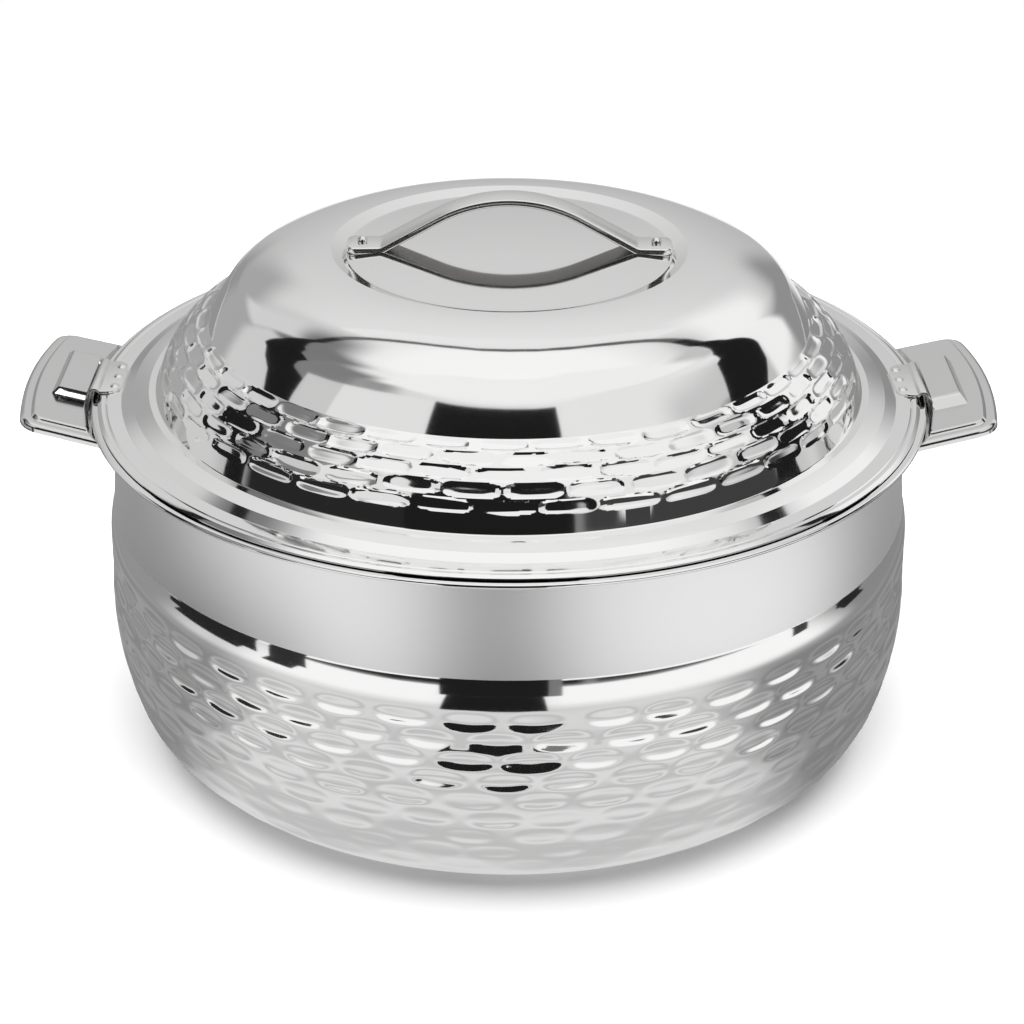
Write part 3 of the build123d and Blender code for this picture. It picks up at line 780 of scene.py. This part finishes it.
def platePress():
    # rings in from the edge, then a grid in the middle with a hole under the hood
    form, hood = handleForm, hoodForm
    built = bmesh.new()
    rings = [[built.verts.new((*spot, -form["lip"])) for spot in freeEdge(0)]]
    for depth in form["depths"]:
        rings.append([built.verts.new((*spot, plateLevel(*spot, depth))) for spot in freeEdge(depth)])
    for outer, inner in zip(rings, rings[1:]):
        for step in range(len(outer) - 1):
            built.faces.new((outer[step], outer[step + 1], inner[step + 1], inner[step]))
    spots = [vert.co.copy() for vert in rings[-1]]
    first, last = spots[0], spots[-1]
    for step in range(1, 40):
        across = last.y + (first.y - last.y) * step / 40
        spots.append(Vector((math.sqrt(form["wall"] ** 2 - across ** 2) - steel["rimRadius"], across, 0)))
    loose = bmesh.new()
    loose.faces.new([loose.verts.new((spot.x, spot.y, 0)) for spot in spots])
    low, high = hood["start"], hood["foot"] - hood["footCut"]
    near, far = hood["closed"] + hood["closedCut"], hood["open"]
    cutGrid(loose, [0.4 * step for step in range(-40, 10)] + [low, high],
            [2.5 * step for step in range(-20, 21)] + [near, far])
    gone = []
    for face in loose.faces:
        spot = face.calc_center_median()
        if low < spot.x < high and near < spot.y < far:
            gone.append(face)
    bmesh.ops.delete(loose, geom=gone, context="FACES")
    for vert in loose.verts:
        vert.co.z = plateLevel(vert.co.x, vert.co.y, form["depths"][-1])
    data = bpy.data.meshes.new("pressed")
    loose.to_mesh(data)
    built.from_mesh(data)
    bpy.data.meshes.remove(data)
    loose.free()
    bmesh.ops.remove_doubles(built, verts=built.verts, dist=1e-4)
    return built


def softLeast(values, blend):
    least = values[0]
    for value in values[1:]:
        mix = max(blend - abs(least - value), 0) / blend
        least = min(least, value) - mix * mix * blend / 4
    return least


def hoodPress():
    form = hoodForm
    built = bmesh.new()
    rows = []
    alongSteps = [form["start"], 4, 7, 10] + [11 + 0.25 * step for step in range(18)]
    acrossSteps = [form["closed"] + 1.5 + 0.35 * step for step in range(28)]
    acrossSteps += [-12, -6, 0, 6, 12, form["open"]]
    for across in acrossSteps:
        row = []
        for along in alongSteps:
            slopeLevel = (form["foot"] - along) / (form["foot"] - form["roof"]) * form["rise"]
            rampLevel = (across - form["closed"]) / form["ramp"] * form["rise"]
            level = softLeast([form["rise"], slopeLevel, rampLevel], form["soften"])
            row.append(built.verts.new((along, across, max(level, form["low"]))))
        rows.append(row)
    for lower, upper in zip(rows, rows[1:]):
        for step in range(len(alongSteps) - 1):
            corners = (lower[step], lower[step + 1], upper[step + 1], upper[step])
            if any(corner.co.z > form["low"] + 1e-4 for corner in corners):
                built.faces.new(corners)
    return built


def wallFlange():
    # patch riveted to the wall under the handle, as a closed shell in the pot's own frame
    form = flangeForm
    columns, rows = 40, 16
    points, faces = [], []
    for offset in (form["gap"] + steel["plate"], form["gap"]):
        for column in range(columns + 1):
            turn = math.radians(form["half"] * (2 * column / columns - 1))
            reach = (form["half"] - abs(math.degrees(turn))) * math.pi / 180 * form["wall"]
            drop = 0
            if reach < form["corner"]:
                drop = form["corner"] - math.sqrt(form["corner"] ** 2 - (form["corner"] - reach) ** 2)
            for row in range(rows + 1):
                height = form["low"] + drop + (form["high"] - form["low"] - drop) * row / rows
                radius = form["wall"] + form["lean"] * (form["top"] - height) + offset
                points.append(Vector((-radius * math.cos(turn), radius * math.sin(turn), height)))
    count = (columns + 1) * (rows + 1)
    for column in range(columns):
        for row in range(rows):
            one = column * (rows + 1) + row
            two = one + rows + 1
            faces.append([one, two, two + 1, one + 1])
            faces.append([count + one, count + one + 1, count + two + 1, count + two])
    border = list(range(rows + 1))
    border += [column * (rows + 1) + rows for column in range(1, columns + 1)]
    border += [columns * (rows + 1) + row for row in range(rows - 1, -1, -1)]
    border += [column * (rows + 1) for column in range(columns - 1, 0, -1)]
    for one, two in zip(border, border[1:] + border[:1]):
        faces.append([one, two, count + two, count + one])
    return points, faces


def addShell(mesh, points, faces):
    first = len(mesh["points"])
    mesh["points"] += points
    mesh["faces"] += [[first + index for index in face] for face in faces]


def buildHandles():
    slope = math.radians(handleForm["slope"])
    mesh = newMesh()
    for built in (platePress(), hoodPress()):
        points, faces = thicken(built, steel["plate"])
        built.free()
        placed = []
        for point in points:
            placed.append(Vector((
                -steel["rimRadius"] - point.x * math.cos(slope) + point.z * math.sin(slope),
                -point.y,
                handleForm["height"] + point.x * math.sin(slope) + point.z * math.cos(slope),
            )))
        addShell(mesh, placed, faces)
    addShell(mesh, *wallFlange())
    makePiece("handleLeft", mesh, "pot", ["handle_left"], handleSteel, 40)
    mesh["points"] = turnedRound(mesh["points"])
    makePiece("handleRight", mesh, "pot", ["handle_right"], handleSteel, 40)


def rivetLatch(sideName, side):
    form = latchForm
    along, height = side * form["rivetAt"], form["flat"] + steel["plate"]
    seats = [Matrix.Translation((along, form["rivetPitch"] * row, height)) for row in (-1, 0, 1)]
    node = "latch_rivets_" + sideName.lower()
    buildRivets("latchRivets" + sideName, node, "lid", rivetForms["latch"], seats)


def rivetHandle(sideName, side):
    form = flangeForm
    place = Matrix.Translation((form["rivetRadius"], 0, form["rivetHeight"]))
    tilt = Matrix.Rotation(math.atan(1 / form["lean"]), 4, "Y")
    seats = []
    for row in (-1, 0, 1):
        turn = math.radians((0 if side > 0 else 180) + form["rivetTurn"] * row)
        seats.append(Matrix.Rotation(turn, 4, "Z") @ place @ tilt)
    node = "handle_rivets_" + sideName.lower()
    buildRivets("handleRivets" + sideName, node, "pot", rivetForms["handle"], seats)


def rivetStrap():
    height = strapForm["wellHeight"] + strapForm["thickness"]
    seats = [Matrix.Translation((side * strapForm["rivetAt"], 0, height)) for side in (-1, 1)]
    buildRivets("strapRivets", "lid_handle_rivets", "lid", rivetForms["strap"], seats)


buildStrap()
buildLatch("latchRight", "latch_right", False)
buildLatch("latchLeft", "latch_left", True)
for sideName, side in (("Left", -1), ("Right", 1)):
    rivetLatch(sideName, side)
    rivetHandle(sideName, side)
rivetStrap()
buildHandles()
print("casserole: handles, latches and rivets fitted")


cameraView = {
    "place": (0, -825.0, 510.8), "aim": (0, 0, 83.3), "lens": 79.4, "sensor": 36.0, "shift": 0.0036,
    "roll": 0.25,
}


def aimCamera():
    data = bpy.data.cameras.new("tableCamera")
    data.lens = cameraView["lens"]
    data.sensor_width = cameraView["sensor"]
    data.sensor_fit = "HORIZONTAL"
    data.shift_x = cameraView["shift"]
    data.clip_end = 20
    camera = bpy.data.objects.new("tableCamera", data)
    scene.collection.objects.link(camera)
    place = Vector(cameraView["place"]) * mm
    ahead = Vector(cameraView["aim"]) * mm - place
    turn = ahead.to_track_quat("-Z", "Y").to_matrix().to_4x4()
    roll = Matrix.Rotation(math.radians(cameraView["roll"]), 4, "Z")
    camera.matrix_world = Matrix.Translation(place) @ (turn @ roll)
    scene.camera = camera


def directRays(tree):
    # 1 for rays that the camera, a mirror or glass sends straight here
    path = addNode(tree, "LightPath").outputs
    either = addNode(tree, "Math", {0: path["Is Camera Ray"], 1: path["Is Glossy Ray"]}, operation="MAXIMUM")
    rays = {0: either.outputs[0], 1: path["Is Transmission Ray"]}
    return addNode(tree, "Math", rays, operation="MAXIMUM").outputs[0]


def emptyTree(holder):
    holder.use_nodes = True
    holder.node_tree.nodes.clear()
    return holder.node_tree


def stageMesh(name, points, faces, material):
    data = bpy.data.meshes.new(name)
    data.from_pydata(points, [], faces)
    data.materials.append(material)
    stand = bpy.data.objects.new(name, data)
    scene.collection.objects.link(stand)
    return stand


room = {
    "fill": 0.15, "floorRadius": 3.0, "floorTone": 0.93, "floorWhite": 0.01, "floorFar": (0.55, 1.2),
    "floorHeight": -0.0001,
    "lampSize": 2.4, "lampPlace": (0, 0, 1.3), "lampPower": 66.0,
}


def lightWorld():
    # white where it is seen, dimmer as light
    scene.world = bpy.data.worlds.new("paleRoom")
    tree = emptyTree(scene.world)
    dim, bright = [
        addNode(tree, "Background", {"Color": (1, 1, 1, 1), "Strength": strength}).outputs[0]
        for strength in (room["fill"], 1)
    ]
    choose = addNode(tree, "MixShader", {0: directRays(tree), 1: dim, 2: bright})
    addNode(tree, "OutputWorld", {"Surface": choose.outputs[0]})


def ringFaces(rings, across, first=0):
    # faces between closed rings of points, each with the same number across
    faces = []
    for ring in range(rings - 1):
        start = first + ring * across
        for step in range(across):
            after = (step + 1) % across
            faces.append((start + step, start + across + step, start + across + after, start + after))
    return faces


def floorPaper():
    # white paper that glows white far from the table
    material = bpy.data.materials.new("floorPaper")
    tree = emptyTree(material)
    paper = addNode(tree, "BsdfDiffuse", {"Color": (*[room["floorTone"]] * 3, 1)})
    lift = addNode(tree, "Emission", {"Strength": directRays(tree)})
    place = addNode(tree, "NewGeometry").outputs["Position"]
    distance = addNode(tree, "VectorMath", {0: place}, operation="LENGTH").outputs["Value"]
    near, far = room["floorFar"]
    share = addNode(tree, "MapRange", {
        "From Min": near, "From Max": far, "To Min": room["floorWhite"], "Value": distance,
    })
    lifted = addNode(tree, "MixShader", {0: share.outputs["Result"], 1: paper.outputs[0], 2: lift.outputs[0]})
    addNode(tree, "OutputMaterial", {"Surface": lifted.outputs[0]})
    return material


def layFloor():
    count = 96
    height = room["floorHeight"]
    points = [(0, 0, height)]
    rings = (0.3, 0.8, room["floorRadius"])
    for radius in rings:
        for step in range(count):
            turn = 2 * math.pi * step / count
            points.append((radius * math.cos(turn), radius * math.sin(turn), height))
    faces = [(0, 1 + step, 1 + (step + 1) % count) for step in range(count)]
    stageMesh("paleFloor", points, faces + ringFaces(len(rings), count, 1), floorPaper())


def hangLamp():
    lamp = bpy.data.lights.new("softLamp", "AREA")
    lamp.size = room["lampSize"]
    lamp.energy = room["lampPower"]
    holder = bpy.data.objects.new("softLamp", lamp)
    scene.collection.objects.link(holder)
    holder.location = room["lampPlace"]
    holder.visible_glossy = False


# panels round the table that only reflections see; azimuth 0 is behind the camera and grows to the right
tent = {"middle": 0.15, "radius": 1.5, "lowest": -5.5, "stripRadius": 1.46, "boardHeight": 0.0006}


def panelMaterial():
    # glows as much as each point's tone says
    material = bpy.data.materials.new("studioPanel")
    tree = emptyTree(material)
    tone = addNode(tree, "Attribute", attribute_name="tone")
    glow = addNode(tree, "Emission", {"Strength": tone.outputs["Fac"]})
    addNode(tree, "OutputMaterial", {"Surface": glow.outputs[0]})
    return material


def hangPanel(name, points, faces, tones):
    panel = stageMesh(name, points, faces, studioPanel)
    layer = panel.data.attributes.new("tone", "FLOAT", "POINT")
    for value, tone in zip(layer.data, tones):
        value.value = tone
    panel.visible_camera = False
    panel.visible_diffuse = False
    panel.visible_shadow = False
    panel.visible_transmission = False


def window(value, low, high, blur):
    # 1 between low and high, with soft ends
    return ease((value - low + blur) / (2 * blur)) * (1 - ease((value - high + blur) / (2 * blur)))


def washed(tone, areas, azimuth, level):
    # the tone once the soft areas that cover this spot are laid over it
    for azimuths, levels, blurAcross, blurAlong, area in areas:
        for lap in (-360, 0, 360):
            weight = window(azimuth + lap, *azimuths, blurAcross) * window(level, *levels, blurAlong)
            tone += (area - tone) * weight
    return tone


def around(azimuth, radius, height):
    turn = math.radians(azimuth)
    return (radius * math.sin(turn), -radius * math.cos(turn), height)


def onTent(azimuth, elevation, radius):
    rise = math.radians(elevation)
    return around(azimuth, radius * math.cos(rise), tent["middle"] + radius * math.sin(rise))


def hangRibbon(name, pairs, tone):
    # one-tone panel through pairs of points
    points = [point for pair in pairs for point in pair]
    faces = [(2 * part, 2 * part + 2, 2 * part + 3, 2 * part + 1) for part in range(len(pairs) - 1)]
    hangPanel(name, points, faces, [tone] * len(points))


def between(span, part, parts):
    return span[0] + (span[1] - span[0]) * part / parts


# tone of the tent by elevation where nothing else stands
tentRise = [
    (-20, 0.45), (2, 0.51), (15, 0.57), (25, 0.66), (35, 0.71), (45, 0.77), (56, 0.82), (66, 0.98), (90, 1.0),
]
# (azimuths, elevations, blur across, blur upward, tone): soft areas of the tent, later ones over earlier ones
tentAreas = [
    ((-70, 104), (41, 80), 14, 2, 0.93),
    ((-84, 10), (-20, 41), 3, 0.7, 0.74),
    ((10, 104), (-20, 41), 3, 1.5, 0.84),
    ((60, 104), (-20, 30), 8, 7, 0.60),
    ((-84, -26), (-5, 18), 3, 2, 0.02),
    ((-30, 20), (-5, 27), 3, 2, 0.02),
    ((20, 88), (-5, 16), 3, 2, 0.05),
    ((-140, -84), (20, 57), 8, 5, 0.20),
    ((-92, -62), (20, 49), 6, 5, 0.22),
    ((-66, -48), (20, 43), 6, 4, 0.32),
    ((96, 140), (40, 54), 8, 3, 0.58),
    ((-124, -96), (-20, 33), 4, 3, 0.64),
    ((-157, -123), (-20, 28), 4, 5, 0.40),
    ((-143, -123), (20, 44), 3, 3, 0.67),
    ((-159, -146), (-20, 9), 5, 3, 0.31),
    ((111, 131), (2, 44), 2, 3, 0.93),
    ((124, 150), (26, 47), 6, 5, 0.95),
    ((131, 158), (-20, 18), 3, 5, 0.29),
]
# stations of (azimuth, lowest, highest elevation) along each crisp strip, with its tone
tentStrips = {
    "leftScreenFar": ([(-84, 16, 26.5), (-77, 16, 29), (-68, 16, 32)], 0.62),
    "leftScreen": ([(-68, 16, 32), (-60, 16, 34.5), (-50, 16, 37), (-40, 16, 38.8), (-30, 16, 39.8)], 0.80),
    "leftPost": ([(-92, -4, 24), (-84, -4, 24)], 0.012),
    "leftFrame": ([
        (-137, 50, 52.5), (-128, 45.5, 48.8), (-121, 41, 46.3), (-115, 34, 44.5), (-110, 20, 42.5),
        (-105, 17, 41), (-100, 16, 36.5), (-95, 10, 35), (-91, 8, 33),
    ], 0.012),
    "rightFrame": ([
        (84, 4, 13), (90, 2, 27), (95, 0, 30.5), (100, 7, 38), (105, 9, 41), (110, 12, 43.5), (115, 27, 46),
        (120, 40, 48), (127, 45, 50.3), (137, 50, 53.5),
    ], 0.012),
    "backLineLeft": ([
        (-180, 65.5, 67.5), (-170, 64.8, 66.8), (-160, 61.5, 63.8), (-150, 56.5, 59), (-143, 53, 55.3),
        (-137, 50, 52.5),
    ], 0.1),
    "backLineRight": ([
        (137, 50, 53.5), (143, 53.3, 56), (150, 57, 60), (160, 62.2, 64.8), (170, 65, 67), (180, 65.5, 67.5),
    ], 0.1),
    "backGlowLeft": ([
        (-180, 60, 65.5), (-170, 58, 64.8), (-160, 54, 61.5), (-150, 50, 56.5), (-145, 48, 54),
    ], 0.86),
    "backGlowRight": ([(145, 46, 54), (150, 50, 57), (160, 55, 62.2), (170, 59, 65), (180, 60, 65.5)], 0.86),
    "frontBar": ([(-30, 0, 39.8), (-5, 0, 40.3), (19, 0, 39.8)], 0.012),
}
# (azimuths, radii, heights, tone): low boards on the table and crisp dark mats, in metres
tableBoards = {
    "boardFront": ((-15, 9), (0.56, 0.56), (0.0008, 0.16), 0.012),
    "boardFrontEdge": ((9, 12), (0.56, 0.56), (0.0008, 0.16), 0.2),
    "boardLeft": ((-90, -60), (0.56, 0.56), (0.0008, 0.075), 0.02),
    "boardLeftNear": ((-57, -47), (0.6, 0.6), (0.0008, 0.11), 0.03),
    "boardRight": ((71, 76), (0.6, 0.6), (0.0008, 0.10), 0.05),
    "boardRightFar": ((86, 97), (0.56, 0.56), (0.0008, 0.08), 0.02),
    "matFront": ((-13.5, 8), (0.32, 0.56), (0.00072, 0.00072), 0.012),
    "matLeft": ((-86, -64), (0.46, 0.56), (0.00072, 0.00072), 0.02),
    "matLeftNear": ((-57, -49), (0.46, 0.6), (0.00072, 0.00072), 0.03),
    "matRightFar": ((87, 96), (0.46, 0.56), (0.00072, 0.00072), 0.02),
}


def tentTone(azimuth, elevation):
    tone = tentRise[-1][1]
    for (low, lowTone), (high, highTone) in zip(tentRise, tentRise[1:]):
        if low <= elevation < high:
            tone = lowTone + (highTone - lowTone) * (elevation - low) / (high - low)
    return washed(tone, tentAreas, azimuth, elevation)


def hangTent():
    points, tones = [], []
    across, upward = 240, 62
    for rise in range(upward + 1):
        elevation = between((tent["lowest"], 90), rise, upward)
        for step in range(across):
            azimuth = 360 * step / across - 180
            points.append(onTent(azimuth, min(elevation, 89.9), tent["radius"]))
            tones.append(tentTone(azimuth, elevation))
    hangPanel("studioTent", points, ringFaces(upward + 1, across), tones)
    for name, (stations, tone) in tentStrips.items():
        pairs = []
        for start, end in zip(stations, stations[1:]):
            parts = max(2, round(abs(end[0] - start[0]) / 1.5))
            for part in range(parts + 1):
                azimuth, low, high = [between(span, part, parts) for span in zip(start, end)]
                pairs.append([onTent(azimuth, level, tent["stripRadius"]) for level in (low, high)])
        hangRibbon(name, pairs, tone)


def standBoards():
    for name, (azimuths, radii, heights, tone) in tableBoards.items():
        pairs = []
        for part in range(13):
            azimuth = between(azimuths, part, 12)
            pairs.append([around(azimuth, *spot) for spot in zip(radii, heights)])
        hangRibbon(name, pairs, tone)


# (azimuths, radii, blur in degrees, blur in metres, tone): soft areas of the table as reflections see it
tableTone = 0.66
tableAreas = [
    ((-62, -10), (0.36, 1.6), 8, 0.06, 1.0),
    ((6, 92), (0.36, 1.6), 8, 0.06, 1.0),
    ((-240, -84), (0.15, 1.6), 10, 0.05, 0.30),
    ((82, 150), (0.15, 1.6), 10, 0.05, 0.26),
    ((152, 200), (0.34, 1.6), 4, 0.03, 0.9),
    ((-240, -57), (0.1, 0.34), 12, 0.04, 0.30),
    ((48, 150), (0.1, 0.34), 12, 0.04, 0.27),
]
# painted reflection on the board near the pot, seen only in reflections: soft rings of brighter and dimmer
# glow, and a painted shadow of the pot that dims the board at its foot
boardRingsAndShade = {
    "from": 0.13, "length": 0.055, "share": 0.16, "wander": 0.8, "until": 0.36, "blur": 0.1,
    "foot": 0.95, "footShadeFrom": 0.14, "footShadeRun": 0.03,
}


def layBoard():
    # ring of board on the table that only reflections see
    points, tones = [], []
    across = 240
    radii = [0.11 + 0.005 * step for step in range(60)] + [0.45, 0.5, 0.56, 0.64, 0.8, 1.1, 1.48]
    for radius in radii:
        fade = 1 - ease((radius - boardRingsAndShade["until"] + boardRingsAndShade["blur"]) / boardRingsAndShade["blur"])
        # painted shadow of the pot: the board dims near its foot
        foot = boardRingsAndShade["foot"] + (1 - boardRingsAndShade["foot"]) * ease((radius - boardRingsAndShade["footShadeFrom"]) / boardRingsAndShade["footShadeRun"])
        for step in range(across):
            azimuth = 360 * step / across - 180
            points.append(around(azimuth, radius, tent["boardHeight"]))
            # painted reflection rings: the glow swells and fades with the radius
            wander = boardRingsAndShade["wander"] * math.sin(9 * math.radians(azimuth))
            wave = math.sin(2 * math.pi * (radius - boardRingsAndShade["from"]) / boardRingsAndShade["length"] + wander)
            tone = washed(tableTone, tableAreas, azimuth, radius)
            tones.append(tone * (1 + boardRingsAndShade["share"] * wave * fade) * foot)
    hangPanel("tableBoard", points, ringFaces(len(radii), across), tones)


studioPanel = panelMaterial()
aimCamera()
lightWorld()
layFloor()
hangLamp()
hangTent()
standBoards()
layBoard()
scene.view_settings.view_transform = "Standard"
print("casserole: studio set")
